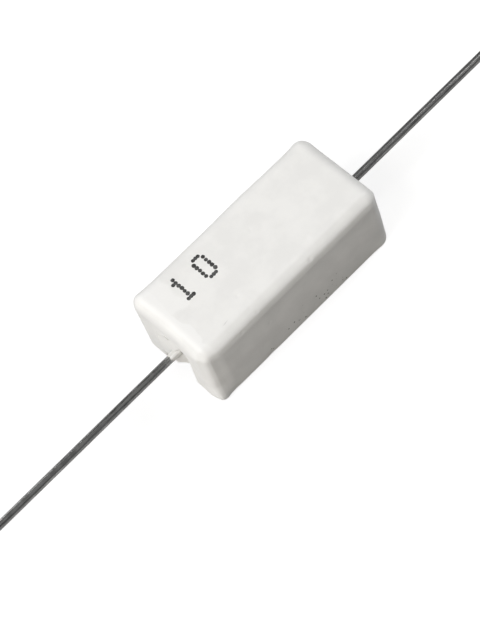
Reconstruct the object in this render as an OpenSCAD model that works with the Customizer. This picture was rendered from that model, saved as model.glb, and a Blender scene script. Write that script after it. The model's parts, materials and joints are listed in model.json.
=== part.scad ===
// Wire-wound power resistor: a wound ceramic rod with axial leads, cemented into a ceramic trough.
// X runs along the leads, Y across the body and Z up. The open rim of the trough lies on Z = 0,
// so the closed top is uppermost and the cement shows only underneath and in the two end notches.

/* [Ceramic body] */
// Length of the body along the leads
body_l = 22; // [20:0.5:28]
// Width of the body
body_w = 10; // [9:0.5:13]
// Height from the open rim to the closed top
body_h = 7.8; // [7.6:0.1:10]
// Radius of the four upright corners
corner_r = 1.35; // [1.35:0.05:1.7]
// Radius of the edges round the closed top
top_edge_r = 1.3; // [0.5:0.05:1.3]
// Radius of the outer edge of the open rim
rim_edge_r = 0.25; // [0.1:0.05:0.5]

/* [Trough] */
// Thickness of the two long walls
side_wall = 1.3; // [0.9:0.05:1.5]
// Thickness of the two end walls
end_wall = 1.4; // [1.2:0.05:1.8]
// Thickness of the closed top
top_wall = 1.4; // [1:0.05:1.5]
// Radius of the trough's upright corners
trough_corner_r = 0.8; // [0.7:0.05:1.2]
// Radius of the trough's edge under the top
trough_edge_r = 0.5; // [0.2:0.05:0.6]

/* [End notches] */
// Width of the notch in each end wall
notch_w = 3.8; // [3:0.1:4.2]
// Height of the notch's round top above the axis of the leads
notch_rise = 2.65; // [2.1:0.05:2.7]
// Rounding of the notch where it meets the end face
notch_edge_r = 0.25; // [0.1:0.05:0.4]
// Rounding of the notch's two corners at the rim
notch_lip_r = 0.7; // [0.3:0.05:0.8]

/* [Cement] */
// Depth of the cement surface inside the rim
cement_drop = 0.9; // [0.4:0.05:1]
// Depth of the cement behind each end face
cement_recess = 0.05; // [0.03:0.01:0.2]
// Distance from the lead's axis at which the cement begins to fall back beside the lead
slump_start = 0.1; // [0:0.05:0.2]
// Angle at which it falls back
slump_angle = 36; // [10:1:38]
// Thickness of cement between the wound element and the top of the trough
cement_cover = 0.6; // [0.5:0.02:0.7]

/* [Wound element] */
// Diameter of the ceramic rod
core_d = 3.2; // [2.8:0.1:3.4]
// Length of the ceramic rod
core_l = 15; // [13:0.5:16]
// Diameter of the resistance wire
wire_d = 0.25; // [0.2:0.05:0.35]
// Distance from one turn to the next
wire_pitch = 0.8; // [0.6:0.05:1.2]
// Length of rod over which the wire climbs on to each cap
wire_climb = 0.8; // [0.5:0.1:1.2]
// Length of cap that the wire's welded tail covers
wire_tail = 0.6; // [0.3:0.1:1]
// Thickness of the cap's wall
cap_wall = 0.35; // [0.25:0.05:0.4]
// Thickness of the cap's closed end
cap_floor = 0.4; // [0.3:0.05:0.6]
// Length of rod that each cap covers
cap_depth = 2.4; // [1.8:0.1:3]

/* [Leads] */
// Diameter of the lead wire
lead_d = 0.75; // [0.5:0.05:1]
// Straight length of lead outside the body
lead_free = 35; // [10:1:40]
// Chamfer at the cut tip of the lead
lead_chamfer = 0.1; // [0.05:0.05:0.2]
// Diameter of the headed end that is welded to the cap
lead_head_d = 1.3; // [1.1:0.1:1.8]
// Thickness of the headed end
lead_head_t = 0.3; // [0.2:0.05:0.5]

/* [Fits] */
// Gap left between pieces that are bedded or pressed together
bed_gap = 0.02; // [0.01:0.01:0.04]
// Gap left under the wire, which lies on the rod in short straight steps
wire_gap = 0.06; // [0.05:0.01:0.1]

/* [Hidden] */

$fn = 64;
// How far a cutting shape runs past the surface that it opens
overrun = 1;

trough_l = body_l - 2 * end_wall;
trough_w = body_w - 2 * side_wall;
trough_h = body_h - top_wall;

core_r = core_d / 2;
lead_r = lead_d / 2;
wire_r = wire_d / 2;
cap_r = core_r + bed_gap + cap_wall;
cap_rim_x = core_l / 2 - cap_depth;
cap_end_x = core_l / 2 + bed_gap + cap_floor;

// Radius of the wire's centre line on the rod and on the caps
coil_r = core_r + wire_gap + wire_r;
tail_r = cap_r + wire_gap + wire_r;
climb_end_x = cap_rim_x - wire_d;
climb_start_x = climb_end_x - wire_climb;
tail_end_x = cap_rim_x + wire_tail;

// The element hangs a set cover of cement below the top of the trough
element_r = tail_r + wire_r + bed_gap;
lead_z = trough_h - cement_cover - element_r;

notch_r = notch_w / 2;
notch_centre_z = lead_z + notch_rise - notch_r;

module at_both_ends() {
    children();
    mirror([1, 0, 0]) mirror([0, 1, 0]) children();
}

// A cylinder along X on the axis of the leads
module axial(r, from_x, to_x) {
    translate([from_x, 0, lead_z]) rotate([0, 90, 0]) cylinder(r = r, h = to_x - from_x);
}

// What is left of a square corner of side r outside the arc that rounds it; the corner is at [r, r]
module corner_waste(r) {
    difference() {
        square(r);
        circle(r);
    }
}

// Half section of a wall edge: r deep, h high, rounded at its outer top and outer bottom
module edge_section(r, h, r_top, r_bottom) {
    difference() {
        square([r, h]);
        translate([r - r_top, h - r_top]) corner_waste(r_top);
        if (r_bottom > 0) translate([r - r_bottom, r_bottom]) mirror([0, 1]) corner_waste(r_bottom);
    }
}

// A block on Z = 0 with upright corners of radius r, whose rounded edges run truly round them
module rounded_block(l, w, h, r, r_top, r_bottom) {
    dx = l / 2 - r;
    dy = w / 2 - r;
    translate([-dx, -dy, 0]) cube([2 * dx, 2 * dy, h]);
    for (side = [0, 1]) mirror([0, side, 0]) {
        translate([-dx, dy, 0]) rotate([90, 0, 90]) linear_extrude(2 * dx)
            edge_section(r, h, r_top, r_bottom);
        for (end = [0, 1]) mirror([end, 0, 0])
            translate([dx, dy, 0]) rotate_extrude(angle = 90) edge_section(r, h, r_top, r_bottom);
    }
    for (end = [0, 1]) mirror([end, 0, 0])
        translate([dx, dy, 0]) rotate([90, 0, 0]) linear_extrude(2 * dy)
            edge_section(r, h, r_top, r_bottom);
}

// Half section of the notch along its depth, inset by gap: parallel inside, with a rounded mouth at depth 0
module notch_section(gap, from_depth, to_depth) {
    r = notch_r - gap;
    mouth_r = notch_edge_r + gap;
    translate([0, from_depth]) square([r, to_depth - from_depth]);
    difference() {
        translate([r, from_depth]) square([mouth_r, notch_edge_r - from_depth]);
        translate([r + mouth_r, notch_edge_r]) circle(mouth_r);
    }
}

// The near notch's space, inset by gap: a round top, and straight flanks that run down to to_z
module notch_space(gap, from_depth, to_depth, to_z) {
    translate([-body_l / 2, 0, notch_centre_z]) rotate([90, 0, 90]) {
        rotate_extrude(angle = 180) notch_section(gap, from_depth, to_depth);
        rotate([90, 0, 0]) linear_extrude(notch_centre_z - to_z) {
            notch_section(gap, from_depth, to_depth);
            mirror([1, 0]) notch_section(gap, from_depth, to_depth);
        }
    }
}

// The near notch as a cut, with rounded corners at the rim
module notch_cut() {
    through = end_wall + overrun;
    notch_space(0, -overrun, through, -overrun);
    for (side = [0, 1]) mirror([0, side, 0])
        translate([-body_l / 2 - overrun, notch_r, 0]) rotate([90, 0, 90])
            linear_extrude(overrun + through) difference() {
                translate([0, -overrun]) square([notch_lip_r, overrun + notch_lip_r]);
                translate([notch_lip_r, notch_lip_r]) circle(notch_lip_r);
            }
}

// Pressed white ceramic trough, open side down, with a notch for the lead in each end wall
module ceramic_body() {
    color([0.93, 0.93, 0.91]) difference() {
        rounded_block(body_l, body_w, body_h, corner_r, top_edge_r, rim_edge_r);
        translate([0, 0, -overrun])
            rounded_block(trough_l, trough_w, trough_h + overrun, trough_corner_r, trough_edge_r, 0);
        at_both_ends() notch_cut();
    }
}

// Cement in the near notch, level with the end face
module notch_fill() {
    notch_space(bed_gap, cement_recess, end_wall + overrun, cement_drop);
}

// Cement that is missing beside the near lead, where it fell back before it set
module slump_cut() {
    reach = notch_w + end_wall;
    intersection() {
        notch_space(bed_gap, -overrun, reach, -overrun);
        translate([-body_l / 2 + cement_recess, slump_start, 0]) rotate([0, 0, slump_angle])
            translate([-reach, -reach, -overrun]) cube([reach, reach, overrun + body_h]);
    }
}

// Space that the wound element and its leads take up in the cement
module element_bed() {
    axial(coil_r + wire_r + bed_gap, -climb_start_x, climb_start_x);
    axial(cap_r + bed_gap, -cap_end_x - bed_gap, cap_end_x + bed_gap);
    for (end = [0, 1]) mirror([end, 0, 0]) {
        axial(element_r, climb_start_x - wire_d, tail_end_x + wire_d);
        axial(lead_head_d / 2 + bed_gap, cap_end_x, cap_end_x + lead_head_t + 2 * bed_gap);
        axial(lead_r + bed_gap, cap_end_x, body_l / 2);
    }
}

// Cement cast into the trough and its notches, round the element
module cement_fill() {
    fill_h = trough_h - bed_gap - cement_drop;
    color([0.80, 0.79, 0.77]) difference() {
        union() {
            translate([0, 0, cement_drop]) rounded_block(
                trough_l - 2 * bed_gap, trough_w - 2 * bed_gap, fill_h,
                trough_corner_r - bed_gap, trough_edge_r - bed_gap, 0);
            at_both_ends() notch_fill();
        }
        at_both_ends() slump_cut();
        element_bed();
    }
}

// Rod of dense ceramic that carries the wire
module ceramic_core() {
    color([0.90, 0.88, 0.82]) axial(core_r, -core_l / 2, core_l / 2);
}

// Sides of the drawn wire, steps in one turn, and the ring that stands at a given place along the axis
wire_sides = 6;
turn_steps = 18;
wire_rings = ceil(2 * tail_end_x / wire_pitch * turn_steps);

function climb(x) = min(1, max(0, (abs(x) - climb_start_x) / wire_climb));
function wire_x(i) = -tail_end_x + 2 * tail_end_x * i / wire_rings;
function wire_turn(i) = 360 * wire_x(i) / wire_pitch;
function wire_centre_r(i) = coil_r + (tail_r - coil_r) * climb(wire_x(i));
function wire_point(i, side) =
    let (a = 360 * side / wire_sides, r = wire_centre_r(i) + wire_r * cos(a), t = wire_turn(i))
    [wire_x(i) + wire_r * sin(a), r * cos(t), lead_z + r * sin(t)];

// Resistance wire wound on the rod, its two tails lying on the caps
module resistance_winding() {
    points = [for (i = [0 : wire_rings], s = [0 : wire_sides - 1]) wire_point(i, s)];
    last = wire_rings * wire_sides;
    skin = [
        for (i = [0 : wire_rings - 1], s = [0 : wire_sides - 1])
            let (a = i * wire_sides + s, b = i * wire_sides + (s + 1) % wire_sides)
            for (face = [[a, b, b + wire_sides], [a, b + wire_sides, a + wire_sides]]) face
    ];
    start_face = [for (s = [wire_sides - 1 : -1 : 0]) s];
    end_face = [for (s = [0 : wire_sides - 1]) last + s];
    color([0.62, 0.60, 0.56]) polyhedron(points, concat(skin, [start_face, end_face]));
}

// Drawn steel cup pressed on the far end of the rod
module end_cap() {
    color([0.72, 0.72, 0.70]) difference() {
        axial(cap_r, cap_rim_x, cap_end_x);
        axial(core_r + bed_gap, cap_rim_x - overrun, core_l / 2 + bed_gap);
    }
}

// Tinned copper wire, headed where it is welded to the far cap and cut square at its free end
module lead() {
    from_x = cap_end_x + bed_gap;
    tip_x = body_l / 2 + lead_free;
    color([0.42, 0.42, 0.42]) {
        axial(lead_head_d / 2, from_x, from_x + lead_head_t);
        axial(lead_r, from_x, tip_x - lead_chamfer);
        translate([tip_x - lead_chamfer, 0, lead_z]) rotate([0, 90, 0])
            cylinder(r1 = lead_r, r2 = lead_r - lead_chamfer, h = lead_chamfer);
    }
}

module end_cap_near() { mirror([1, 0, 0]) end_cap(); }
module end_cap_far() { end_cap(); }
module lead_near() { mirror([1, 0, 0]) lead(); }
module lead_far() { lead(); }

ceramic_body();
cement_fill();
ceramic_core();
resistance_winding();
end_cap_near();
end_cap_far();
lead_near();
lead_far();
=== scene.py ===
"""Looks of a cement power resistor: a fired ceramic trough, cast cement, tinned leads and a printed number.

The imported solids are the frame. Sizes in the classes are millimetres, and finished meshes are in metres.
X runs along the leads, Y across the body and Z up, as in the frame.
"""

from __future__ import annotations

import itertools
import json
import logging
import math
from collections.abc import Sequence
from dataclasses import dataclass, field
from enum import Enum
from typing import ClassVar

import bmesh
import bpy
import numpy as np
from mathutils import Matrix, Vector
from mathutils.bvhtree import BVHTree


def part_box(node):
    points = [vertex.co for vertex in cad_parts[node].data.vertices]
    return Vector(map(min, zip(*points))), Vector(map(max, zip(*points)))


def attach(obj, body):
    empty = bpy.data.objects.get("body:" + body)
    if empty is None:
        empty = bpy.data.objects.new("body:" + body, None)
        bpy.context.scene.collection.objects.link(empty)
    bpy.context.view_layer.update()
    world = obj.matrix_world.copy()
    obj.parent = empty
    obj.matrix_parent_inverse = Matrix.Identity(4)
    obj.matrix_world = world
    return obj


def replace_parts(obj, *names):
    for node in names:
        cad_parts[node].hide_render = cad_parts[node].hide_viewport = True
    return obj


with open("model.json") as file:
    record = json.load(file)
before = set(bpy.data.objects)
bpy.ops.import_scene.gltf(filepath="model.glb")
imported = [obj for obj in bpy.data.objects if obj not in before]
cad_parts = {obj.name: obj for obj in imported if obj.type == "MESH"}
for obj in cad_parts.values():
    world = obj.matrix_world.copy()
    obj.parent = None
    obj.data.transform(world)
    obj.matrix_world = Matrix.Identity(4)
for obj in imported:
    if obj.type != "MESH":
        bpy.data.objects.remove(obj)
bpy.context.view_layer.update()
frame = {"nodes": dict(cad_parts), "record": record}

LOG = logging.getLogger("resistor")
MM = 0.001
BODY = "root"
WHITE = (1.0, 1.0, 1.0)

Span = tuple[float, float]
Triple = tuple[float, float, float]
Colour = Triple
Piece = bpy.types.Object
Socket = bpy.types.NodeSocket
Outputs = bpy.types.bpy_prop_collection
Value = float | tuple | Socket
Inputs = dict[str | int, Value]


class End(Enum):
    """An end of the body; the value is the way its lead points along X."""

    NEAR = -1
    FAR = 1

    @property
    def word(self) -> str:
        """The end's name as the nodes have it."""
        return self.name.lower()


class Slot(Enum):
    """The record's material slots."""

    CERAMIC = "white_ceramic"
    CEMENT = "pale_cement"
    ROD = "rod_ceramic"
    ALLOY = "resistance_alloy"
    STEEL = "cap_steel"
    WIRE = "tinned_wire"


# Shapes


def node_box(node: str) -> tuple[np.ndarray, np.ndarray]:
    """Gives the lowest and highest corner of a CAD node in millimetres."""
    low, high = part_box(node)
    return np.array(low) / MM, np.array(high) / MM


def ease(value: np.ndarray, start: float, end: float) -> np.ndarray:
    """Steps smoothly from 0 at start to 1 at end."""
    t = np.clip((value - start) / (end - start), 0, 1)
    return t * t * (3 - 2 * t)


def spokes(sides: int) -> np.ndarray:
    """Gives even steps of length 1 round the X axis, one row each."""
    angle = np.linspace(0, 2 * math.pi, sides, endpoint=False)
    return np.stack([np.zeros_like(angle), np.cos(angle), np.sin(angle)], -1)


def arc(radius: float, middle_z: float, turns: np.ndarray) -> list[Span]:
    """Gives places on an arc of an end face, across and up, whose middle lies over the lead's axis."""
    return [(radius * math.cos(turn), middle_z + radius * math.sin(turn)) for turn in turns]


class UnevenField:
    """Smooth seeded noise in space, from about -1 to 1."""

    TABLE = 4096
    PRIMES = (73856093, 19349663, 83492791)

    def __init__(self, seed: int, cell: float) -> None:
        """Draws the field.

        Args:
            seed: start of the random draw.
            cell: distance from one bump to the next, in millimetres.
        """
        self.values = np.random.default_rng(seed).uniform(-1, 1, self.TABLE)
        self.cell = cell

    def at(self, points: np.ndarray) -> np.ndarray:
        """Reads the field.

        Args:
            points: places in millimetres, in rows or in rings.
        Returns:
            One value for each place.
        """
        scaled = points / self.cell
        base = np.floor(scaled).astype(np.int64)
        smooth = ease(scaled - base, 0, 1)
        total = np.zeros(points.shape[:-1])
        for corner in itertools.product((0, 1), repeat=3):
            index = (base + corner) * self.PRIMES
            key = (index[..., 0] ^ index[..., 1] ^ index[..., 2]) % self.TABLE
            total += np.prod(np.where(corner, smooth, 1 - smooth), axis=-1) * self.values[key]
        return total


@dataclass
class Pits:
    """Round pits or chips of mixed size in a surface."""

    count: int
    radius: Span
    depth: Span

    def depths(self, points: np.ndarray, sites: np.ndarray, random: np.random.Generator) -> np.ndarray:
        """Sinks the pits into a surface.

        Args:
            points: the surface's points.
            sites: places that a pit may take, one row each.
            random: source of the draws.
        Returns:
            How deep each point of the surface lies in a pit.
        """
        deepest = np.zeros(len(points))
        for site in sites[random.integers(0, len(sites), self.count)]:
            radius = random.uniform(*self.radius)
            depth = random.uniform(*self.depth)
            away = np.linalg.norm(points - site, axis=1) / radius
            deepest = np.maximum(deepest, depth * np.exp(-(away**4)))
        return deepest


class Skin:
    """An even, fine mesh that lies on a CAD node, kept in millimetres until it becomes a piece."""

    JOINT = 1e-4

    def __init__(self, node: str, step: float) -> None:
        """Wraps the node.

        Args:
            node: the CAD node to follow.
            step: distance from one point of the mesh to the next.
        """
        true_form = frame["nodes"][node].data.copy()
        true_form.transform(Matrix.Scale(1 / MM, 4))
        self._weld(true_form)
        target = self._place(true_form)
        draft = self._place(true_form.copy())
        remesh = draft.modifiers.new("even", "REMESH")
        remesh.mode = "VOXEL"
        remesh.voxel_size = step
        wrap = draft.modifiers.new("seat", "SHRINKWRAP")
        wrap.target = target
        wrap.wrap_method = "NEAREST_SURFACEPOINT"
        graph = bpy.context.evaluated_depsgraph_get()
        self.mesh = bpy.data.meshes.new_from_object(draft.evaluated_get(graph))
        for helper in (draft, target):
            bpy.data.objects.remove(helper)
        self.points = self._read(self.mesh.vertices, "co")
        self.normals = self._read(self.mesh.vertex_normals, "vector")

    def _weld(self, mesh: bpy.types.Mesh) -> None:
        """Joins the points that meet along the edges of the CAD faces.

        Args:
            mesh: the mesh to join up, in millimetres.
        """
        work = bmesh.new()
        work.from_mesh(mesh)
        bmesh.ops.remove_doubles(work, verts=work.verts, dist=self.JOINT)
        work.to_mesh(mesh)
        work.free()

    @staticmethod
    def _place(mesh: bpy.types.Mesh) -> Piece:
        """Puts a mesh in the scene for a moment, so that modifiers can work on it.

        Args:
            mesh: the mesh.
        Returns:
            The object that holds it.
        """
        helper = bpy.data.objects.new("helper", mesh)
        bpy.context.scene.collection.objects.link(helper)
        return helper

    @staticmethod
    def _read(items: bpy.types.bpy_prop_collection, name: str) -> np.ndarray:
        """Reads one vector of each item.

        Args:
            items: the points or their normals.
            name: the vector's name.
        Returns:
            The vectors, one row each.
        """
        flat = np.zeros(len(items) * 3, np.float32)
        items.foreach_get(name, flat)
        return flat.reshape(-1, 3).astype(float)

    def piece(self, name: str, offset: np.ndarray, shift: np.ndarray) -> Piece:
        """Moves each point along its normal and makes the piece.

        Args:
            name: the piece's name.
            offset: how far each point moves outward.
            shift: a further move of each point, one row each.
        Returns:
            The piece, in metres, linked to the scene.
        """
        moved = (self.points + self.normals * offset[:, None] + shift) * MM
        self.mesh.vertices.foreach_set("co", moved.astype(np.float32).ravel())
        self.mesh.update()
        return smooth_piece(name, self.mesh)


def smooth_piece(name: str, mesh: bpy.types.Mesh) -> Piece:
    """Makes a smooth-shaded piece that moves with the body.

    Args:
        name: the piece's name.
        mesh: its mesh, in metres.
    Returns:
        The piece.
    """
    mesh.name = name
    mesh.shade_smooth()
    piece = bpy.data.objects.new(name, mesh)
    bpy.context.scene.collection.objects.link(piece)
    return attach(piece, BODY)


def tube_piece(name: str, tubes: Sequence[np.ndarray], hollow: bool = False) -> Piece:
    """Skins rows of rings.

    Args:
        name: the piece's name.
        tubes: each tube's points in millimetres, shaped rings by sides by 3.
        hollow: joins the last ring to the first, where both ends would be closed by a face.
    Returns:
        The piece, in metres.
    """
    points: list[list[float]] = []
    faces: list[list[int]] = []
    for rings in tubes:
        count, sides, _ = rings.shape
        index = len(points) + np.arange(count * sides).reshape(count, sides)
        turned = np.roll(index, -1, axis=1)
        walls = np.stack([index, turned, np.roll(turned, -1, axis=0), np.roll(index, -1, axis=0)], -1)
        faces += walls[: count if hollow else count - 1].reshape(-1, 4).tolist()
        if not hollow:
            faces += [index[0, ::-1].tolist(), index[-1].tolist()]
        points += (rings.reshape(-1, 3) * MM).tolist()
    mesh = bpy.data.meshes.new(name)
    mesh.from_pydata(points, [], faces)
    return smooth_piece(name, mesh)


# Shared shader effects


class Sheet:
    """Places nodes in one tree and joins them."""

    def __init__(self, tree: bpy.types.NodeTree) -> None:
        """Takes the tree to draw in."""
        self.tree = tree

    def feed(self, node: bpy.types.Node, inputs: Inputs) -> None:
        """Gives a node's inputs what they take.

        Args:
            node: the node.
            inputs: a value, a colour or another node's output for each input.
        """
        for key, value in inputs.items():
            socket = node.inputs[key]
            if isinstance(value, Socket):
                self.tree.links.new(value, socket)
            elif socket.type == "RGBA":
                socket.default_value = (*value, 1.0)
            else:
                socket.default_value = value

    def add(self, kind: str, inputs: Inputs | None = None, **settings: object) -> bpy.types.Node:
        """Adds a node.

        Args:
            kind: the node's type.
            inputs: what each input takes.
            settings: the node's own properties.
        Returns:
            The node.
        """
        node = self.tree.nodes.new(kind)
        for key, value in settings.items():
            setattr(node, key, value)
        self.feed(node, inputs or {})
        return node

    def group(self, effect: bpy.types.NodeTree, **inputs: Value) -> Outputs:
        """Places a shared effect with its own values and gives its outputs."""
        return self.add("ShaderNodeGroup", inputs, node_tree=effect).outputs

    def place(self) -> Socket:
        """Gives the place on the object, in metres."""
        return self.add("ShaderNodeTexCoord").outputs["Object"]

    def axes(self) -> tuple[Socket, ...]:
        """Gives the place on the object as X, Y and Z, in millimetres."""
        scaled = self.add("ShaderNodeVectorMath", {0: self.place(), "Scale": 1 / MM}, operation="SCALE")
        return tuple(self.add("ShaderNodeSeparateXYZ", {0: scaled.outputs[0]}).outputs)

    def noise(self, scale: Value, detail: float, vector: Socket | None = None) -> Socket:
        """Adds cloudy noise.

        Args:
            scale: patches in a metre.
            detail: how many finer layers lie on it.
            vector: where to read it, or the place on the object.
        Returns:
            The noise, from 0 to 1.
        """
        inputs = {"Vector": vector or self.place(), "Scale": scale, "Detail": detail}
        return self.add("ShaderNodeTexNoise", inputs).outputs["Fac"]

    def work(self, operation: str, first: Value, second: Value = 0.0) -> Socket:
        """Works out one operation on one or two values."""
        return self.add("ShaderNodeMath", {0: first, 1: second}, operation=operation).outputs[0]

    def step(self, value: Value, start: Value, end: Value, low: Value = 0.0, high: Value = 1.0) -> Socket:
        """Runs smoothly from low at start to high at end."""
        inputs = {"Value": value, "From Min": start, "From Max": end, "To Min": low, "To Max": high}
        return self.add("ShaderNodeMapRange", inputs, interpolation_type="SMOOTHSTEP").outputs["Result"]

    def blend(self, share: Value, first: Value, second: Value) -> Socket:
        """Mixes two colours by a share from 0 to 1."""
        return self.add("ShaderNodeMix", {0: share, 6: first, 7: second}, data_type="RGBA").outputs[2]

    def bump(self, height: Value, distance: float) -> Socket:
        """Turns a height from 0 to 1 into a normal, with that height's depth in metres."""
        return self.add("ShaderNodeBump", {"Height": height, "Distance": distance}).outputs["Normal"]


class Effect(Sheet):
    """A node group with named inputs and outputs."""

    NUMBER = "NodeSocketFloat"
    COLOUR = "NodeSocketColor"

    def __init__(self, name: str, numbers: Sequence[str], colours: Sequence[str] = ()) -> None:
        """Starts the group.

        Args:
            name: the group's name.
            numbers: names of the inputs that take a number.
            colours: names of the inputs that take a colour.
        """
        super().__init__(bpy.data.node_groups.new(name, "ShaderNodeTree"))
        for kind, sockets in ((self.NUMBER, numbers), (self.COLOUR, colours)):
            for socket in sockets:
                self.tree.interface.new_socket(name=socket, in_out="INPUT", socket_type=kind)
        self.given = self.add("NodeGroupInput").outputs

    def close(self, **outputs: Socket) -> bpy.types.NodeTree:
        """Ends the group.

        Args:
            outputs: what each output puts out.
        Returns:
            The group's tree.
        """
        for name, socket in outputs.items():
            kind = self.COLOUR if socket.type == "RGBA" else self.NUMBER
            self.tree.interface.new_socket(name=name, in_out="OUTPUT", socket_type=kind)
        self.feed(self.add("NodeGroupOutput"), outputs)
        return self.tree


class Effects:
    """The effects that several finishes share, each built once, and the materials made with them."""

    def __init__(self) -> None:
        """Builds the groups."""
        self.mottle = self._mottle()
        self.grain = self._grain()
        self.pores = self._pores()
        self.streaks = self._streaks()
        self.materials: dict[str, bpy.types.Material] = {}

    @staticmethod
    def _mottle() -> bpy.types.NodeTree:
        """Builds cloudy patches of a second colour.

        Returns:
            The group.
        """
        detail, low, high = 5.0, 0.36, 0.66
        effect = Effect("mottle", ("Scale", "Amount"), ("Colour", "Tint"))
        cloud = effect.step(effect.noise(effect.given["Scale"], detail), low, high)
        share = effect.work("MULTIPLY", cloud, effect.given["Amount"])
        colour = effect.blend(share, effect.given["Colour"], effect.given["Tint"])
        return effect.close(Colour=colour, Mask=cloud)

    @staticmethod
    def _grain() -> bpy.types.NodeTree:
        """Builds the fine roughness of a pressed, cast or tinned surface: a coarse and a fine layer.

        Returns:
            The group.
        """
        coarse_detail, fine_detail = 3.0, 2.0
        effect = Effect("grain", ("Coarse", "Fine", "Share"))
        coarse = effect.noise(effect.given["Coarse"], coarse_detail)
        fine = effect.work("MULTIPLY", effect.noise(effect.given["Fine"], fine_detail), effect.given["Share"])
        return effect.close(Height=effect.work("ADD", coarse, fine))

    @staticmethod
    def _pores() -> bpy.types.NodeTree:
        """Builds scattered round specks, of which only a share of the places has one.

        Returns:
            The group.
        """
        smallest, core_share = 0.55, 0.7
        effect = Effect("pores", ("Scale", "Size", "Density"))
        cells = effect.add("ShaderNodeTexVoronoi", {"Vector": effect.place(), "Scale": effect.given["Scale"]})
        lot = effect.add("ShaderNodeSeparateColor", {0: cells.outputs["Color"]}).outputs
        kept = effect.work("LESS_THAN", lot["Red"], effect.given["Density"])
        spread = effect.step(lot["Green"], 0.0, 1.0, smallest, 1.0)
        size = effect.work("MULTIPLY", effect.given["Size"], spread)
        core = effect.work("MULTIPLY", size, core_share)
        spot = effect.step(cells.outputs["Distance"], core, size, 1.0, 0.0)
        return effect.close(Mask=effect.work("MULTIPLY", kept, spot))

    @staticmethod
    def _streaks() -> bpy.types.NodeTree:
        """Builds the lines that drawing leaves along X.

        Returns:
            The group.
        """
        detail, low, high = 4.0, 0.3, 0.7
        effect = Effect("streaks", ("Across", "Along"))
        across, along = effect.given["Across"], effect.given["Along"]
        ways = effect.add("ShaderNodeCombineXYZ", {0: along, 1: across, 2: across}).outputs[0]
        scaled = effect.add("ShaderNodeVectorMath", {0: effect.place(), 1: ways}, operation="MULTIPLY")
        line = effect.noise(1.0, detail, scaled.outputs[0])
        return effect.close(Mask=effect.step(line, low, high))


# Finishes


def new_material(name: str) -> tuple[bpy.types.Material, Sheet, bpy.types.Node]:
    """Starts a material.

    Args:
        name: the material's name.
    Returns:
        The material, the sheet of its nodes and its shader node.
    """
    material = bpy.data.materials.new(name)
    material.use_nodes = True
    return material, Sheet(material.node_tree), material.node_tree.nodes["Principled BSDF"]


@dataclass(frozen=True)
class Finish:
    """A finish with clouds of a second colour; each kind says what the shader's sockets take."""

    name: str
    colour: Colour
    tint: Colour
    cloud_scale: float = 420.0
    cloud_amount: float = 0.8

    def material(self, effects: Effects) -> bpy.types.Material:
        """Gives the material, which is built once.

        Args:
            effects: the shared node groups.
        Returns:
            The material.
        """
        if self.name not in effects.materials:
            material, sheet, shader = new_material(self.name)
            sheet.feed(shader, self.sockets(sheet, effects))
            effects.materials[self.name] = material
        return effects.materials[self.name]

    def clouds(self, sheet: Sheet, effects: Effects) -> Outputs:
        """Places the clouds and gives their colour and mask."""
        scale, amount = self.cloud_scale, self.cloud_amount
        return sheet.group(effects.mottle, Scale=scale, Amount=amount, Colour=self.colour, Tint=self.tint)

    def sockets(self, sheet: Sheet, effects: Effects) -> Inputs:
        """Gives what the shader's sockets take; here only the clouds."""
        return {"Base Color": self.clouds(sheet, effects)["Colour"]}


@dataclass(frozen=True)
class MineralFinish(Finish):
    """Unglazed ceramic or set cement: faint clouds, a fine grain, and spots that are open pores or sand."""

    spot_colour: Colour = (0.26, 0.25, 0.23)
    spot_scale: float = 2600.0
    spot_size: float = 0.27
    spot_density: float = 0.0015
    grain: Triple = (1500.0, 9000.0, 0.35)
    depth: float = 7e-6
    roughness: Span = (0.44, 0.56)

    def sockets(self, sheet: Sheet, effects: Effects) -> Inputs:
        """Gives what the shader's sockets take.

        Args:
            sheet: the material's nodes.
            effects: the shared node groups.
        Returns:
            A value or another node's output for each socket.
        """
        clouds = self.clouds(sheet, effects)
        scale, size, density = self.spot_scale, self.spot_size, self.density(sheet)
        spots = sheet.group(effects.pores, Scale=scale, Size=size, Density=density)["Mask"]
        coarse, fine, share = self.grain
        grain = sheet.group(effects.grain, Coarse=coarse, Fine=fine, Share=share)["Height"]
        low, high = self.roughness
        return {
            "Base Color": sheet.blend(spots, self.marked(sheet, clouds["Colour"]), self.spot_colour),
            "Roughness": low if low == high else sheet.step(clouds["Mask"], 0.0, 1.0, low, high),
            "Normal": sheet.bump(sheet.work("SUBTRACT", grain, spots), self.depth),
        }

    def marked(self, sheet: Sheet, colour: Socket) -> Socket:
        """Leaves the colour as it is; a finish with marks of its own adds them here."""
        return colour

    def density(self, sheet: Sheet) -> Value:
        """Gives the share of places that have a spot."""
        return self.spot_density


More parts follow.
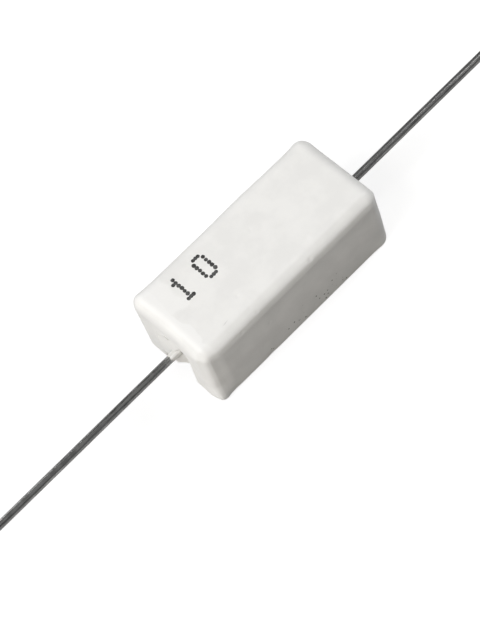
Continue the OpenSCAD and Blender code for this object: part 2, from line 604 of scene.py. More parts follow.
@dataclass(frozen=True)
class BodyFinish(MineralFinish):
    """The body's ceramic: lighter on the top at its near end and round the print, with painted shade below
    the near edge.

    It has more pores low on the long sides, and one short scratch on its top.
    """

    # The top is lighter near the near end and round the print.
    clean_colour: Colour = (0.905, 0.90, 0.882)
    clean_share: float = 1.0
    print_share: float = 0.68
    clean_end_x: float = -9.15
    print_end_x: float = -7.6
    print_low_y: float = 0.4
    end_edge: float = 0.09
    clean_edge: float = 0.26
    clean_wave: float = 1.2
    wave_scale: float = 800.0
    wave_detail: float = 2.0
    top_z: float = 7.46
    top_edge: float = 0.32
    # Painted shade: the near end face is darkened in colour, most just below its top rounding and less lower
    # down, fading out towards the right side, standing in for shade.
    dull_colour: Colour = (0.735, 0.730, 0.716)
    dull_x: Span = (-10.3, -9.9)
    dull_y: Span = (-3.3, -0.7)
    dull_top_z: Span = (6.82, 7.4)
    dull_low_z: Span = (6.2, 6.6)
    dull_low_share: float = 0.25
    low_z: Span = (1.6, 2.9)
    low_x: Span = (4.2, 6.0)
    low_density: float = 0.9
    cluster_scale: float = 520.0
    cluster_detail: float = 1.0
    cluster_edge: Span = (0.41, 0.51)
    bare_band: float = 1.0
    scratch_x: Span = (-7.25, -6.35)
    scratch_y: float = -3.46
    scratch_slope: float = 0.12
    scratch_w: float = 0.07
    scratch_share: float = 0.3

    def marked(self, sheet: Sheet, colour: Socket) -> Socket:
        """Paints shade on the ceramic below the near edge, lightens an area of the top and scratches it.

        Args:
            sheet: the material's nodes.
            colour: the colour so far.
        Returns:
            The colour with the marks.
        """
        x, y, z = sheet.axes()
        # Painted shade on the near end face and the lower part of its top rounding.
        painted_shade = sheet.step(x, *self.dull_x, 1.0, 0.0)
        for place, span, start, stop in (
            (y, self.dull_y, 0.0, 1.0),
            (z, self.dull_top_z, 1.0, 0.0),
            (z, self.dull_low_z, self.dull_low_share, 1.0),
        ):
            painted_shade = sheet.work("MULTIPLY", painted_shade, sheet.step(place, *span, start, stop))
        on_top = sheet.step(z, self.top_z, self.top_z + self.top_edge)
        lighter_area = sheet.work("MULTIPLY", self._clean(sheet, x, y), on_top)
        scratch = sheet.work("MULTIPLY", self._scratch(sheet, x, y), on_top)
        with_painted_shade = sheet.blend(painted_shade, colour, self.dull_colour)
        return sheet.blend(scratch, sheet.blend(lighter_area, with_painted_shade, self.clean_colour), self.spot_colour)

    def _clean(self, sheet: Sheet, x: Socket, y: Socket) -> Socket:
        """Draws the lighter area with its uneven edge.

        Args:
            sheet: the material's nodes.
            x: the place along the body.
            y: the place across it.
        Returns:
            How far the place is lightened.
        """
        uneven = sheet.work("SUBTRACT", sheet.noise(self.wave_scale, self.wave_detail), 0.5)
        wave = sheet.work("MULTIPLY", uneven, self.clean_wave)
        past_print = sheet.work("SUBTRACT", x, self.print_end_x)
        below_print = sheet.work("SUBTRACT", self.print_low_y, y)
        areas = (
            (sheet.work("SUBTRACT", x, self.clean_end_x), self.end_edge, self.clean_share),
            (sheet.work("MAXIMUM", past_print, below_print), self.clean_edge, self.print_share),
        )
        shares = [
            sheet.step(sheet.work("ADD", outside, wave), -edge, edge, share, 0.0)
            for outside, edge, share in areas
        ]
        return sheet.work("MAXIMUM", *shares)

    def _scratch(self, sheet: Sheet, x: Socket, y: Socket) -> Socket:
        """Draws one short scratch that thins out towards its ends.

        Args:
            sheet: the material's nodes.
            x: the place along the body.
            y: the place across it.
        Returns:
            The share of the scratch in the colour.
        """
        start, end = self.scratch_x
        middle = (start + end) / 2
        along = sheet.work("SUBTRACT", x, middle)
        drift = sheet.work("MULTIPLY", along, self.scratch_slope)
        across = sheet.work("SUBTRACT", sheet.work("SUBTRACT", y, self.scratch_y), drift)
        line = sheet.step(sheet.work("ABSOLUTE", across), 0.0, self.scratch_w, self.scratch_share, 0.0)
        reach = sheet.step(sheet.work("ABSOLUTE", along), 0.0, end - middle, 1.0, 0.0)
        return sheet.work("MULTIPLY", line, reach)

    def density(self, sheet: Sheet) -> Socket:
        """Gives more pores towards the rim, in clusters, and none on the top.

        Args:
            sheet: the material's nodes.
        Returns:
            The share of places that have a pore.
        """
        x, _, z = sheet.axes()
        cluster = sheet.noise(self.cluster_scale, self.cluster_detail)
        clustered = sheet.step(cluster, *self.cluster_edge, 0.0, self.low_density)
        amid = sheet.step(sheet.work("ABSOLUTE", x), *self.low_x, 1.0, 0.0)
        near_rim = sheet.work("MULTIPLY", sheet.step(z, *self.low_z, 1.0, 0.0), amid)
        below_top = sheet.step(z, self.top_z - self.bare_band, self.top_z, self.spot_density, 0.0)
        return sheet.work("ADD", sheet.work("MULTIPLY", near_rim, clustered), below_top)


@dataclass(frozen=True)
class CementFinish(MineralFinish):
    """Set cement: matt, with sandy clouds and dark grains of sand."""

    name: str = "pale_cement"
    colour: Colour = (0.89, 0.882, 0.86)
    tint: Colour = (0.84, 0.83, 0.805)
    cloud_scale: float = 900.0
    cloud_amount: float = 0.7
    spot_colour: Colour = (0.56, 0.55, 0.52)
    spot_scale: float = 5200.0
    spot_size: float = 0.34
    spot_density: float = 0.06
    grain: Triple = (2600.0, 11000.0, 0.6)
    depth: float = 2.4e-5
    roughness: Span = (0.85, 0.85)


@dataclass(frozen=True)
class CollarFinish(CementFinish):
    """Cement on a lead, with painted light: a white painted highlight along its upper side, and painted shade
    at the sides.
    """

    # Painted light: the upper side, turned towards the key light, takes the light colour, and the sides take
    # the darker painted shade colour.
    film_colour: Colour = (0.71, 0.70, 0.675)
    axis_z: float = 3.5
    lean: float = 27.0
    streak_w: Span = (0.07, 0.20)

    def marked(self, sheet: Sheet, colour: Socket) -> Socket:
        """Paints shade on both sides of the painted highlight.

        Args:
            sheet: the material's nodes.
            colour: the painted highlight's colour.
        Returns:
            The colour with the painted shade.
        """
        _, y, z = sheet.axes()
        lean = math.radians(self.lean)
        level = sheet.work("MULTIPLY", y, math.cos(lean))
        rise = sheet.work("MULTIPLY", sheet.work("SUBTRACT", z, self.axis_z), math.sin(lean))
        across = sheet.work("ABSOLUTE", sheet.work("ADD", level, rise))
        # Painted shade grows with the distance from a line along the upper side.
        return sheet.blend(sheet.step(across, *self.streak_w), colour, self.film_colour)


@dataclass(frozen=True, kw_only=True)
class DrawnMetal(Finish):
    """Metal that was drawn through a die: bright, with darker clouds, and darker, rougher lines along it."""

    roughness: Span
    across: float
    along: float
    depth: float
    cloud_scale: float = 700.0
    lumps: float = 0.0
    grain: Triple = (2600.0, 7000.0, 0.4)

    def sockets(self, sheet: Sheet, effects: Effects) -> Inputs:
        """Gives what the shader's sockets take.

        Args:
            sheet: the material's nodes.
            effects: the shared node groups.
        Returns:
            A value or another node's output for each socket.
        """
        lines = sheet.group(effects.streaks, Across=self.across, Along=self.along)["Mask"]
        coarse, fine, share = self.grain
        grain = sheet.group(effects.grain, Coarse=coarse, Fine=fine, Share=share)["Height"]
        height = sheet.work("ADD", lines, sheet.work("MULTIPLY", grain, self.lumps))
        return {
            "Metallic": 1.0,
            "Base Color": sheet.blend(lines, self.clouds(sheet, effects)["Colour"], self.tint),
            "Roughness": sheet.step(lines, 0.0, 1.0, *self.roughness),
            "Normal": sheet.bump(height, self.depth),
        }


@dataclass(frozen=True)
class InkFinish(Finish):
    """Black marking ink, thin enough in places for the ceramic to grey it."""

    roughness: float = 0.6

    def sockets(self, sheet: Sheet, effects: Effects) -> Inputs:
        """Adds the ink's plain roughness to its clouds."""
        return {**super().sockets(sheet, effects), "Roughness": self.roughness}


@dataclass(frozen=True)
class FloorFinish:
    """A white sweep that shows pale to the camera but throws little light back, as under a hooded set."""

    name: str = "pale_floor"
    seen: float = 0.34
    glow: float = 0.76
    bounce: float = 0.27

    def material(self) -> bpy.types.Material:
        """Builds the material.

        Returns:
            The material.
        """
        material, sheet, shader = new_material(self.name)
        camera = sheet.add("ShaderNodeLightPath").outputs["Is Camera Ray"]
        grey = sheet.step(camera, 0.0, 1.0, self.bounce, self.seen)
        sockets = {
            "Base Color": sheet.add("ShaderNodeCombineColor", {0: grey, 1: grey, 2: grey}).outputs[0],
            "Roughness": 1.0,
            "Specular IOR Level": 0.0,
            "Emission Color": WHITE,
            "Emission Strength": sheet.work("MULTIPLY", camera, self.glow),
        }
        sheet.feed(shader, sockets)
        return material


WHITE_CERAMIC = BodyFinish("white_ceramic", (0.868, 0.861, 0.84), (0.805, 0.799, 0.78))
ROD_CERAMIC = MineralFinish(
    "rod_ceramic", (0.78, 0.75, 0.68), (0.70, 0.67, 0.60), spot_colour=(0.42, 0.40, 0.35)
)
CAST_CEMENT = CementFinish()
SMEARED_CEMENT = CementFinish(
    "smeared_cement", (0.785, 0.778, 0.758), (0.755, 0.748, 0.728), spot_density=0.015, depth=6e-6
)
# The collar's light colour is its painted highlight; painted shade darkens its sides.
COLLAR_CEMENT = CollarFinish(
    "collar_cement", (0.93, 0.925, 0.905), (0.90, 0.893, 0.87), spot_density=0.0, depth=1e-5
)
TINNED_WIRE = DrawnMetal(
    name="tinned_wire",
    colour=(1.0, 1.0, 0.99),
    tint=(0.54, 0.54, 0.53),
    roughness=(0.14, 0.34),
    across=9000.0,
    along=240.0,
    depth=6e-6,
    cloud_scale=1500.0,
    lumps=2.2,
)
CAP_STEEL = DrawnMetal(
    name="cap_steel",
    colour=(0.62, 0.61, 0.58),
    tint=(0.48, 0.47, 0.45),
    roughness=(0.28, 0.45),
    across=6000.0,
    along=300.0,
    depth=4e-6,
)
WINDING_ALLOY = DrawnMetal(
    name="winding_alloy",
    colour=(0.52, 0.50, 0.46),
    tint=(0.38, 0.36, 0.33),
    roughness=(0.30, 0.5),
    across=9000.0,
    along=900.0,
    depth=3e-6,
)
MARKING_INK = InkFinish("marking_ink", (0.028, 0.028, 0.027), (0.10, 0.10, 0.098), 2200.0, 0.9)


# Pieces


def wear(piece: Piece, material: bpy.types.Material) -> None:
    """Gives a piece its finish.

    Args:
        piece: the piece or CAD node.
        material: its material.
    """
    piece.data.materials.clear()
    piece.data.materials.append(material)


class SubAssembly:
    """What is built as one piece and then dressed."""

    FINISH: ClassVar[Finish]
    SLOT: ClassVar[Slot | None] = None

    def build(self) -> Piece:
        """Builds the piece; each kind has its own way."""
        raise NotImplementedError

    def dress(self, piece: Piece, effects: Effects) -> None:
        """Gives the piece its finish."""
        wear(piece, self.FINISH.material(effects))


@dataclass(frozen=True)
class Pull:
    """A place where the press left the body fuller or hollower, given in shares of the body's half sizes."""

    place: Triple
    toward: Triple
    reach: float
    height: float

    def moves(self, points: np.ndarray, low: np.ndarray, high: np.ndarray) -> np.ndarray:
        """Draws the place out or in.

        Args:
            points: the surface's points, in rows or in rings.
            low: the body's lowest corner.
            high: its highest corner.
        Returns:
            How each point moves.
        """
        away = points - ((low + high) / 2 + np.array(self.place) * (high - low) / 2)
        level = np.hypot(away[..., 0], away[..., 1]) / self.reach
        share = np.exp(-(level**2)) * (1 - ease(np.abs(away[..., 2]), 0, self.height))
        return share[..., None] * np.array(self.toward)


@dataclass(frozen=True)
class Lean:
    """An upright face whose upper part leans in, with the rounding above it.

    The face looks the negative way of its axis.
    """

    axis: int
    top: float
    low: float
    turns: tuple[float, float, float, float]
    heights: Span
    band: Span
    foot: float = 0.0
    roll: float = 0.0
    roll_z: float = 0.6
    square: Span = (0.02, 0.4)

    def inset(self, z: np.ndarray) -> np.ndarray:
        """Gives how far the face is set back at each height; its foot is rolled in."""
        rolled = self.roll * np.clip(1 - z / self.roll_z, 0, 1) ** 2
        return self.foot + (self.top + self.low) * ease(z, *self.heights) + rolled

    def moves(self, points: np.ndarray, normals: np.ndarray) -> np.ndarray:
        """Leans the face and its rounding.

        Args:
            points: the surface's points.
            normals: their normals.
        Returns:
            How each point moves.
        """
        facing = -normals[:, self.axis]
        turn = np.degrees(np.arctan2(facing, normals[:, 2]))
        first, second, third, last = self.turns
        rounding = self.top * ease(turn, first, second) + self.low * ease(turn, third, last)
        inward = np.where(points[:, 2] > self.heights[1], rounding, self.inset(points[:, 2]) - self.foot)
        across = np.zeros_like(points)
        across[:, [self.axis, 2]] = normals[:, [self.axis, 2]]
        across /= np.maximum(np.linalg.norm(across, axis=1), 1e-6)[:, None]
        moves = -across * (inward * ease(facing, *self.square))[:, None]
        moves[:, self.axis] += self.foot
        return moves * self._near(points)[:, None]

    def mouth_moves(self, points: np.ndarray) -> np.ndarray:
        """Sets the mouth of a notch in the face back with it.

        Args:
            points: the mouth's points.
        Returns:
            How each point moves.
        """
        moves = np.zeros_like(points)
        moves[:, self.axis] = self.inset(points[:, 2]) * self._near(points)
        return moves

    def _near(self, points: np.ndarray) -> np.ndarray:
        """Gives 1 at the face and 0 inside its band."""
        return ease(-points[:, self.axis], *self.band)


RIGHT_LEAN = Lean(1, 0.05, 0.09, (3.0, 22.0, 45.0, 78.0), (3.0, 6.45), (2.4, 3.6))
NEAR_LEAN = Lean(0, 0.05, 0.11, (0.0, 20.0, 20.0, 58.0), (0.3, 6.45), (9.8, 10.7), foot=0.04, roll=0.3)
NEAR_HOLLOW = Pull((-1, 0.1, 1), (0.13, 0.0, 0.0), 4.0, 1.9)


@dataclass
class CeramicBody(SubAssembly):
    """The pressed and fired trough, a little warped, with chips on its rim and open pores."""

    FINISH = WHITE_CERAMIC
    SLOT = Slot.CERAMIC
    node: str = "ceramic_body"
    step: float = 0.12
    warp: float = 0.03
    warp_cell: float = 5.5
    ripple: float = 0.006
    ripple_cell: float = 1.1
    calm_ends: float = 0.85
    calm_facing: Span = (0.6, 0.95)
    pores: Pits = field(default_factory=lambda: Pits(22, (0.14, 0.26), (0.02, 0.05)))
    pore_x: float = 8.0
    chips: Pits = field(default_factory=lambda: Pits(16, (0.25, 0.5), (0.03, 0.08)))
    chip_z: Span = (0.1, 0.5)
    rim_share: float = 0.4
    pulls: tuple[Pull, ...] = (
        Pull((-1, -1, -1), (-0.20, -0.36, 0.0), 0.95, 2.4),
        Pull((1, -1, -1), (-0.10, -0.16, 0.0), 1.5, 1.5),
        Pull((1, 1, 1), (0.08, 0.26, 0.0), 1.3, 2.6),
        Pull((-1, 1, 1), (-0.18, 0.22, 0.0), 1.6, 7.6),
        Pull((0.23, 1, 1), (0.0, 0.09, 0.0), 3.5, 4.0),
        NEAR_HOLLOW,
    )
    leans: tuple[Lean, ...] = (RIGHT_LEAN, NEAR_LEAN)
    soft: float = 0.31
    soft_x: Span = (8.7, 10.5)
    soft_y: Span = (2.4, 3.6)
    soft_z: Span = (0.2, 2.2)
    full: float = 0.15
    full_turns: Triple = (22.0, 52.0, 97.0)
    full_level: Span = (0.2, 0.8)
    wall_band: float = 1.2
    end_facing: float = 0.9
    notch_x: float = 9.0
    notch_half_w: float = 2.3
    notch_top_z: float = 6.6
    seed: int = 11

    def build(self) -> Piece:
        """Builds the piece that stands for the CAD body.

        Returns:
            The piece.
        """
        skin = Skin(self.node, self.step)
        points, normals = skin.points, skin.normals
        low, high = node_box(self.node)
        outer = self._outer(points, normals, low, high)
        random = np.random.default_rng(self.seed)
        offset = self.warp * UnevenField(self.seed, self.warp_cell).at(points)
        offset += self.ripple * UnevenField(self.seed + 1, self.ripple_cell).at(points)
        offset *= 1 - self.calm_ends * ease(np.abs(normals[:, 0]), *self.calm_facing)
        offset += self._full(normals)
        offset -= self.pores.depths(points, points[outer & (np.abs(points[:, 0]) < self.pore_x)], random)
        chip_low, chip_high = low[2] + np.array(self.chip_z)
        on_rim = outer & (points[:, 2] < chip_high) & (points[:, 2] > chip_low)
        offset -= self.chips.depths(points, points[on_rim], random)
        stands = ease(points[:, 2], low[2], chip_high)
        offset = np.where(outer, offset, 0.0) * np.maximum(stands, np.where(offset < 0, self.rim_share, 0.0))
        shift = sum(pull.moves(points, low, high) for pull in self.pulls)
        shift += sum(lean.moves(points, normals) for lean in self.leans)
        soft = ease(-points[:, 0], *self.soft_x) * ease(-points[:, 1], *self.soft_y)
        shift += (self.soft * soft * ease(points[:, 2], *self.soft_z))[:, None] * (0, 1, 0)
        shift = np.where(outer[:, None], shift, NEAR_LEAN.mouth_moves(points))
        piece = skin.piece("fired_body", offset, shift)
        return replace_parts(piece, self.node)

    def _full(self, normals: np.ndarray) -> np.ndarray:
        """Fills out the upright corner between the near end and the right side, which turns late.

        Args:
            normals: the skin's normals.
        Returns:
            How far each point moves outward.
        """
        turn = np.degrees(np.arctan2(-normals[:, 1], -normals[:, 0]))
        start, peak, end = self.full_turns
        swell = self.full * ease(turn, start, peak) * (1 - ease(turn, peak, end))
        return swell * (1 - ease(np.abs(normals[:, 2]), *self.full_level))

    def _outer(
        self, points: np.ndarray, normals: np.ndarray, low: np.ndarray, high: np.ndarray
    ) -> np.ndarray:
        """Finds the outside of the trough.

        Args:
            points: the skin's points.
            normals: their normals.
            low: the body's lowest corner.
            high: its highest corner.
        Returns:
            True for each point on the outside, false in the trough and the notches.
        """
        x, y, z = points.T
        near_wall = np.minimum(points - low, high - points)[:, :2].min(axis=1) < self.wall_band
        near_top = high[2] - z < self.wall_band
        outward = np.einsum("ij,ij->i", normals, points - (low + high) / 2) > 0
        end_face = np.abs(normals[:, 0]) > self.end_facing
        notch = (np.abs(y) < self.notch_half_w) & (z < self.notch_top_z) & (np.abs(x) > self.notch_x)
        return (near_wall | near_top) & outward & ~(notch & ~end_face)


@dataclass
class CementFill(SubAssembly):
    """The cast cement: a sunken, sandy underside with open bubbles, and rough fronts in the notches."""

    FINISH = CAST_CEMENT
    SLOT = Slot.CEMENT
    node: str = "cement_fill"
    step: float = 0.11
    sag: float = 0.16
    lump: float = 0.035
    lump_cell: float = 0.8
    sand: float = 0.022
    sand_cell: float = 0.32
    bubbles: Pits = field(default_factory=lambda: Pits(44, (0.16, 0.42), (0.10, 0.28)))
    under_facing: float = 0.6
    under_band: float = 0.4
    front_facing: float = 0.3
    front_gap: float = 1.0
    front_share: float = 0.5
    level_share: float = 0.25
    drained: float = 0.72
    drained_x: Span = (8.7, 10.3)
    drained_z: float = 3.0
    clear: float = 0.06
    seed: int = 23

    def build(self) -> Piece:
        """Builds the piece that stands for the CAD cement.

        Returns:
            The piece.
        """
        skin = Skin(self.node, self.step)
        points, normals = skin.points, skin.normals
        x, y, z = points.T
        low, high = node_box(self.node)
        cap_low, cap_high = node_box("end_cap_far")
        recess = node_box("ceramic_body")[1][0] - high[0]
        past_rod = node_box("ceramic_core")[1][0] + self.front_gap
        under = (normals[:, 2] < -self.under_facing) & (z < low[2] + self.under_band)
        front = (normals[:, 0] * np.sign(x) > self.front_facing) & (np.abs(x) > past_rod)
        level = front & (np.abs(x) > high[0] - recess)
        random = np.random.default_rng(self.seed)
        rough = self.lump * UnevenField(self.seed, self.lump_cell).at(points)
        rough += self.sand * UnevenField(self.seed + 1, self.sand_cell).at(points)
        sunk = self.sag * np.clip(1 - (y / high[1]) ** 2, 0, 1) * np.clip(1 - (x / high[0]) ** 2, 0, 1)
        holes = self.bubbles.depths(points, points[under], random)
        from_axis = np.hypot(y, z - (cap_low[2] + cap_high[2]) / 2)
        cavity = (from_axis < cap_high[1] + self.clear) & (np.abs(x) < past_rod)
        offset = np.where(under, rough - sunk - holes, np.where(cavity, -self.clear, 0.0))
        offset = np.where(front & ~under, (rough - self.lump) * self.front_share, offset)
        offset = np.where(level & ~under, 0.0, offset)
        raised = np.where(level & ~under, recess + (rough - self.lump) * self.level_share, 0.0)
        inward = NEAR_LEAN.inset(z) * (x < 0) * front - raised
        shift = -inward[:, None] * np.sign(points) * (1, 0, 0)
        shift[:, 2] += self.drained * ease(np.abs(x), *self.drained_x) * (1 - ease(z, low[2], self.drained_z))
        piece = skin.piece("cast_cement", offset, shift)
        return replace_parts(piece, self.node)


def lead_mount(end: End) -> dict:
    """Gives the record's mount for one lead.

    Args:
        end: the end of the body that the lead comes out of.
    Returns:
        The mount, with the wire's radius and its free length.
    """
    name = f"lead_{end.word}"
    return next(mount for mount in frame["record"]["mounts"] if mount["name"] == name)


@dataclass
class Lead(SubAssembly):
    """A tinned lead: a headed wire, drawn not quite true, with a lightly uneven tin coat."""

    FINISH = TINNED_WIRE
    SLOT = Slot.WIRE
    end: End
    sides: int = 40
    step: float = 0.2
    wander: float = 0.035
    wander_cell: float = 8.0
    coat: float = 0.006
    coat_cell: float = 0.9
    chamfer: float = 0.1
    head_t: float = 0.3
    wander_seeds: tuple[int, int] = (43, 46)
    coat_seed: int = 50

    def build(self) -> Piece:
        """Builds the piece that stands for the CAD lead.

        Returns:
            The piece.
        """
        node = f"lead_{self.end.word}"
        low, high = node_box(node)
        dims = lead_mount(self.end)["dims"]
        radius, head_r = dims["r_mm"], (high[1] - low[1]) / 2
        length = high[0] - low[0]
        plain = np.arange(self.head_t, length - self.chamfer, self.step)
        stations = np.concatenate([[0, self.head_t], plain, [length - self.chamfer, length]])
        tip = [radius, radius - self.chamfer]
        radii = np.concatenate([[head_r, head_r], np.full(len(plain), radius), tip])
        x = stations * self.end.value + (low[0] if self.end is End.FAR else high[0])
        centres = np.stack([x, np.zeros_like(x), np.full_like(x, (low[2] + high[2]) / 2)], -1)
        bend = ease(stations, length - dims["length_mm"], length)
        for axis, seed in zip((1, 2), self.wander_seeds):
            uneven = UnevenField(seed + self.end.value, self.wander_cell).at(centres)
            centres[:, axis] += self.wander * uneven * bend
        out = spokes(self.sides)
        rings = centres[:, None] + out * radii[:, None, None]
        coat = self.coat * UnevenField(self.coat_seed + self.end.value, self.coat_cell).at(rings)
        rings = rings + out * (coat * bend[:, None])[:, :, None]
        piece = tube_piece(f"tinned_{node}", [rings[:, :: self.end.value]])
        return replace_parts(piece, node)


@dataclass
class CementSmear(SubAssembly):
    """The thin skin of cement wiped flat over one half of a notch and its crown, where no joint shows."""

    FINISH = SMEARED_CEMENT
    SLOT = Slot.CEMENT
    end: End
    inner_y: float = 0.13
    outer_r: float = 2.42
    arch_z: float = 4.25
    low_z: float = 1.68
    centre: Span = (1.2, 3.9)
    core_share: float = 0.04
    clear: float = 0.025
    thick: float = 0.01
    sunk: float = 0.03
    back: float = 0.06
    feather: float = 0.88
    crown_turn: float = 126.0
    bite_turn: float = 95.0
    plug: float = 0.5
    plug_y: float = 0.3
    plug_edge: Span = (0.15, 0.45)
    steps: int = 12
    sides: int = 120

    def outline(self) -> np.ndarray:
        """Gives the skin's edge on the end face, with a bite round the lead.

        Returns:
            Places across and up, one row each, at even distances.
        """
        mount = lead_mount(self.end)
        bite_r = mount["dims"]["r_mm"] + self.clear
        bite_end = -math.acos(self.inner_y / bite_r)
        crown_turn, bite_turn = math.radians(self.crown_turn), math.radians(self.bite_turn)
        arch = arc(self.outer_r, self.arch_z, np.linspace(0, crown_turn, self.sides))
        bite = arc(bite_r, mount["pos_m"][2] / MM, np.linspace(bite_turn, bite_end, self.steps))
        foot = (self.inner_y, self.low_z)
        path = np.array([foot, (self.outer_r, self.low_z), *arch, *bite, foot])
        run = np.concatenate([[0], np.cumsum(np.linalg.norm(np.diff(path, axis=0), axis=1))])
        at = np.linspace(0, run[-1], self.sides, endpoint=False)
        return np.stack([np.interp(at, run, path[:, axis]) for axis in (0, 1)], -1)

    def build(self) -> Piece:
        """Builds the skin as a thin closed lens, with a plug behind it under the notch's crown.

        Returns:
            The piece.
        """
        low, high = node_box("ceramic_body")
        share = np.linspace(self.core_share, 1, self.steps)
        rise = self.thick - (self.thick + self.sunk) * ease(share, self.feather, 1)
        shares = np.concatenate([share, share[::-1]])
        rises = np.concatenate([rise, np.full(self.steps, -self.back)])
        flat = np.array(self.centre) + shares[:, None, None] * (self.outline() - self.centre)[None]
        rings = np.concatenate([np.zeros((*flat.shape[:2], 1)), flat], axis=-1)
        rings[..., 0] = high[0] + rises[:, None]
        inside = self.outer_r - np.hypot(flat[..., 0], flat[..., 1] - self.arch_z)
        plug = self.plug * ease(-flat[..., 0], 0, self.plug_y) * ease(inside, *self.plug_edge)
        rings[self.steps :, :, 0] -= plug[self.steps :]
        rings *= (self.end.value, -self.end.value, 1.0)
        if self.end is End.NEAR:
            rings[..., 0] += NEAR_LEAN.inset(rings[..., 2])
            rings += NEAR_HOLLOW.moves(rings, low, high)
        return tube_piece(f"cement_smear_{self.end.word}", [rings])


@dataclass
class CementCollar(SubAssembly):
    """The thin white sleeve that wet cement left on a lead where it comes out of the notch."""

    FINISH = COLLAR_CEMENT
    SLOT = Slot.CEMENT
    end: End
    length: float = 0.55
    ragged: float = 0.16
    ragged_cell: float = 0.5
    ragged_seed: int = 61
    root_t: float = 0.05
    sleeve_t: float = 0.035
    tip_t: float = 0.014
    root_share: float = 0.3
    tip_share: float = 0.7
    clear: float = 0.008
    sunk: float = 0.55
    lump: float = 0.012
    lump_cell: float = 0.35
    lump_seed: int = 62
    sides: int = 48
    steps: int = 16

    def build(self) -> Piece:
        """Builds the sleeve as a closed tube round the lead.

        Returns:
            The piece.
        """
        mount = lead_mount(self.end)
        start = node_box("ceramic_body")[1][0] - self.sunk
        inner_r = mount["dims"]["r_mm"] + self.clear
        out = spokes(self.sides)
        share = np.linspace(0, 1, self.steps)
        uneven = UnevenField(self.ragged_seed, self.ragged_cell).at(out)
        reach = self.sunk + self.length + self.ragged * uneven
        fillet = (1 - ease(share, 0, self.root_share)) * (self.root_t - self.sleeve_t)
        thick = fillet + self.sleeve_t + (self.tip_t - self.sleeve_t) * ease(share, self.tip_share, 1)
        along = np.array([1.0, 0, 0]) * (start + share[:, None, None] * reach[None, :, None])
        outer = along + out * (inner_r + thick)[:, None, None]
        rough = self.lump * UnevenField(self.lump_seed, self.lump_cell).at(outer)
        outer = outer + out * (np.abs(rough) * (thick > self.tip_t)[:, None])[:, :, None]
        inner = (along + out * inner_r)[::-1]
        rings = np.concatenate([outer, inner]) * (self.end.value, 1.0, 1.0) + (0, 0, mount["pos_m"][2] / MM)
        return tube_piece(f"cement_collar_{self.end.word}", [rings[:, :: self.end.value]], hollow=True)


@dataclass
class WoundElement(SubAssembly):
    """The sealed element: a ceramic rod, two drawn caps and the resistance wire wound between them."""

    FINISH = WINDING_ALLOY
    SLOT = Slot.ALLOY
    pitch: float = 0.8
    gap: float = 0.06
    sides: int = 10
    steps: int = 40
    climb: float = 0.8

    def build(self) -> Piece:
        """Builds the wire as a round-sectioned helix that stands for the CAD winding.

        Returns:
            The piece.
        """
        low, high = node_box("resistance_winding")
        core_low, core_high = node_box("ceramic_core")
        cap_low, cap_high = node_box("end_cap_far")
        core_r = (core_high[1] - core_low[1]) / 2
        cap_r = (cap_high[1] - cap_low[1]) / 2
        wire_r = ((high[1] - low[1]) / 2 - cap_r - self.gap) / 2
        reach = high[0] - wire_r
        climb_end = cap_low[0] - 2 * wire_r
        x = np.linspace(-reach, reach, int(2 * reach / self.pitch * self.steps))
        lift = np.clip((np.abs(x) - climb_end + self.climb) / self.climb, 0, 1)
        radius = core_r + self.gap + wire_r + (cap_r - core_r) * lift
        turn = 2 * math.pi * x / self.pitch
        out = np.stack([np.zeros_like(x), np.cos(turn), np.sin(turn)], -1)
        axis = np.stack([x, np.zeros_like(x), np.full_like(x, core_low[2] + core_r)], -1)
        _, outward, onward = spokes(self.sides).T
        section = outward[:, None] * out[:, None] + onward[:, None] * np.array([1.0, 0.0, 0.0])
        rings = (out * radius[:, None] + axis)[:, None] + wire_r * section
        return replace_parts(tube_piece("wound_wire", [rings]), "resistance_winding")

    def dress(self, piece: Piece, effects: Effects) -> None:
        """Finishes the wire, the rod and the caps.

        Args:
            piece: the wire.
            effects: the shared node groups.
        """
        super().dress(piece, effects)
        wear(frame["nodes"]["ceramic_core"], ROD_CERAMIC.material(effects))
        for end in End:
            wear(frame["nodes"][f"end_cap_{end.word}"], CAP_STEEL.material(effects))


DOT_DIGITS = {
    "1": ("..#..", ".##..", "..#..", "..#..", "..#..", "..#..", ".###."),
    "0": (".###.", "#...#", "#...#", "#...#", "#...#", "#...#", ".###."),
}


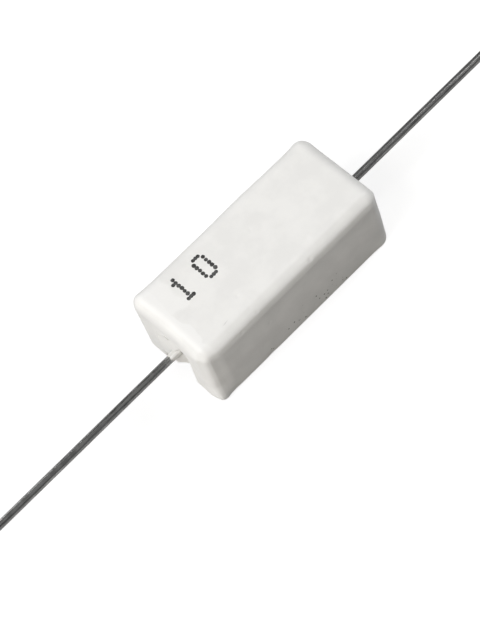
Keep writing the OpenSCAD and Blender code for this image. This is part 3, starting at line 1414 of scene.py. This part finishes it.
@dataclass
class PrintedNumber(SubAssembly):
    """A plain number in dots of ink on the top face."""

    FINISH = MARKING_INK
    carrier: str = "fired_body"
    digits: str = "10"
    left: float = -7.48
    top: float = 3.12
    column: float = 0.28
    row: float = 0.395
    pitch: float = 2.8
    dot_r: float = 0.205
    spread: Span = (0.88, 1.06)
    ragged: float = 0.07
    height: float = 0.012
    edge_rise: float = 0.3
    crown_share: float = 0.8
    sunk: float = 0.03
    jitter: float = 0.02
    sides: int = 16
    seed: int = 5

    def centres(self) -> list[Span]:
        """Gives the middle of each dot on the top face."""
        return [
            (self.left + place * self.pitch + column * self.column, self.top - row * self.row)
            for place, digit in enumerate(self.digits)
            for row, cells in enumerate(DOT_DIGITS[digit])
            for column, cell in enumerate(cells)
            if cell == "#"
        ]

    def build(self) -> Piece:
        """Lays the dots on the body.

        Returns:
            The piece.
        """
        body = bpy.data.objects[self.carrier]
        surface = BVHTree.FromObject(body, bpy.context.evaluated_depsgraph_get())
        random = np.random.default_rng(self.seed)
        _, across, up = spokes(self.sides).T
        levels = ((1.0, -self.sunk), (1.0, self.edge_rise * self.height), (self.crown_share, self.height))
        dots = []
        for centre in self.centres():
            x, y = (place + random.uniform(-1, 1) * self.jitter for place in centre)
            radius = self.dot_r * random.uniform(*self.spread)
            radius = radius * (1 + self.ragged * random.uniform(-1, 1, self.sides))
            rings = []
            for share, rise in levels:
                places = zip(x + share * radius * across, y + share * radius * up)
                rings.append([self._on(surface, *place, rise) for place in places])
            dots.append(np.array(rings))
        return tube_piece("printed_number", dots)

    @staticmethod
    def _on(surface: BVHTree, x: float, y: float, rise: float) -> Triple:
        """Gives a point over or under the body's top, in millimetres."""
        hit, *_ = surface.ray_cast(Vector((x * MM, y * MM, 1)), Vector((0, 0, -1)))
        return x, y, hit.z / MM + rise


# Studio


@dataclass(frozen=True)
class SoftLight:
    """A square soft light that faces the part."""

    name: str
    toward: Triple
    size: float
    share: float
    colour: Colour = WHITE
    distance: float = 0.45

    def build(self, target: Vector) -> Piece:
        """Hangs the light.

        Args:
            target: what it faces, in metres.
        Returns:
            The light.
        """
        lamp = bpy.data.lights.new(self.name, "AREA")
        lamp.size = self.size
        lamp.color = self.colour
        lamp.energy = self.share * (math.pi * self.distance) ** 2
        light = bpy.data.objects.new(self.name, lamp)
        direction = Vector(self.toward).normalized()
        light.location = target + direction * self.distance
        light.rotation_euler = direction.to_track_quat("Z", "Y").to_euler()
        bpy.context.scene.collection.objects.link(light)
        return light


@dataclass(frozen=True)
class PhotoCamera:
    """The photograph's camera: high over the near end, turned so that the part lies on a slant."""

    azimuth: float = -25.877
    elevation: float = 60.094
    roll: float = -23.267
    distance: float = 200.0
    aim_x: float = -4.888
    aim_y: float = -2.270
    lens: float = 126.798
    clip: Span = (0.001, 100.0)

    def build(self, middle_z: float) -> Piece:
        """Places the camera.

        Args:
            middle_z: height of the body's middle, which it circles.
        Returns:
            The camera.
        """
        azimuth, elevation, roll = (math.radians(a) for a in (self.azimuth, self.elevation, self.roll))
        level = math.cos(elevation)
        back = Vector((math.sin(azimuth) * level, -math.cos(azimuth) * level, math.sin(elevation)))
        eye = Vector((0, 0, middle_z)) + back * self.distance
        look = (Vector((self.aim_x, self.aim_y, middle_z)) - eye).normalized()
        right = look.cross(Vector((0, 0, 1))).normalized()
        up = right.cross(look)
        tilted_right = math.cos(roll) * right + math.sin(roll) * up
        tilted_up = math.cos(roll) * up - math.sin(roll) * right
        camera = bpy.data.objects.new("camera", bpy.data.cameras.new("camera"))
        camera.data.lens = self.lens
        camera.data.clip_start, camera.data.clip_end = self.clip
        turn = Matrix((tilted_right, tilted_up, -look)).transposed().to_4x4()
        camera.matrix_world = Matrix.Translation(eye * MM) @ turn
        bpy.context.scene.collection.objects.link(camera)
        bpy.context.scene.camera = camera
        return camera


@dataclass(frozen=True)
class Studio:
    """A pale floor, soft lights from the near end and a dim room."""

    floor_size: float = 6.0
    room: Span = (0.07, 0.14)
    room_bright_z: Span = (0.45, 0.95)
    lights: tuple[SoftLight, ...] = (
        SoftLight("key", (-0.775, 0.06, 0.63), 0.34, 0.89),
        SoftLight("back", (0.80, 0.0, 0.60), 0.24, 0.60),
        SoftLight("left", (-0.32, 0.90, 0.28), 0.26, 0.22),
        SoftLight("fill", (-0.78, -0.56, 0.28), 0.26, 0.225, (1.0, 0.93, 0.82)),
    )

    def build(self, middle_z: float) -> None:
        """Builds the set.

        Args:
            middle_z: height of the body's middle in millimetres.
        """
        half = self.floor_size / 2
        mesh = bpy.data.meshes.new("floor")
        corners = [(-half, -half, 0), (half, -half, 0), (half, half, 0), (-half, half, 0)]
        mesh.from_pydata(corners, [], [(0, 1, 2, 3)])
        mesh.materials.append(FloorFinish().material())
        floor = bpy.data.objects.new("floor", mesh)
        bpy.context.scene.collection.objects.link(floor)
        for light in self.lights:
            light.build(Vector((0, 0, middle_z * MM)))
        self._room()
        bpy.context.scene.view_settings.view_transform = "Standard"

    def _room(self) -> None:
        """Makes the room dim, a little lighter overhead, and white where the camera looks past the floor."""
        world = bpy.data.worlds.new("room")
        world.use_nodes = True
        sheet = Sheet(world.node_tree)
        camera = sheet.add("ShaderNodeLightPath").outputs["Is Camera Ray"]
        way = sheet.add("ShaderNodeTexCoord").outputs["Generated"]
        height = sheet.add("ShaderNodeSeparateXYZ", {0: way}).outputs[2]
        dim = sheet.step(height, *self.room_bright_z, *self.room)
        strength = sheet.step(camera, 0.0, 1.0, dim, 1.0)
        sheet.feed(world.node_tree.nodes["Background"], {"Color": WHITE, "Strength": strength})
        bpy.context.scene.world = world


def main() -> None:
    """Builds and dresses the pieces in order, then the set."""
    logging.basicConfig(level=logging.INFO, format="%(name)s: %(message)s")
    low, high = node_box("ceramic_body")
    middle_z = float(low[2] + high[2]) / 2
    PhotoCamera().build(middle_z)
    effects = Effects()
    assemblies: list[SubAssembly] = [CeramicBody(), CementFill(), WoundElement()]
    for end in End:
        assemblies += [Lead(end), CementCollar(end), CementSmear(end)]
    assemblies.append(PrintedNumber())
    for assembly in assemblies:
        piece = assembly.build()
        assembly.dress(piece, effects)
        LOG.info("%s: %d faces", piece.name, len(piece.data.polygons))
    Studio().build(middle_z)


if __name__ == "__main__":
    main()
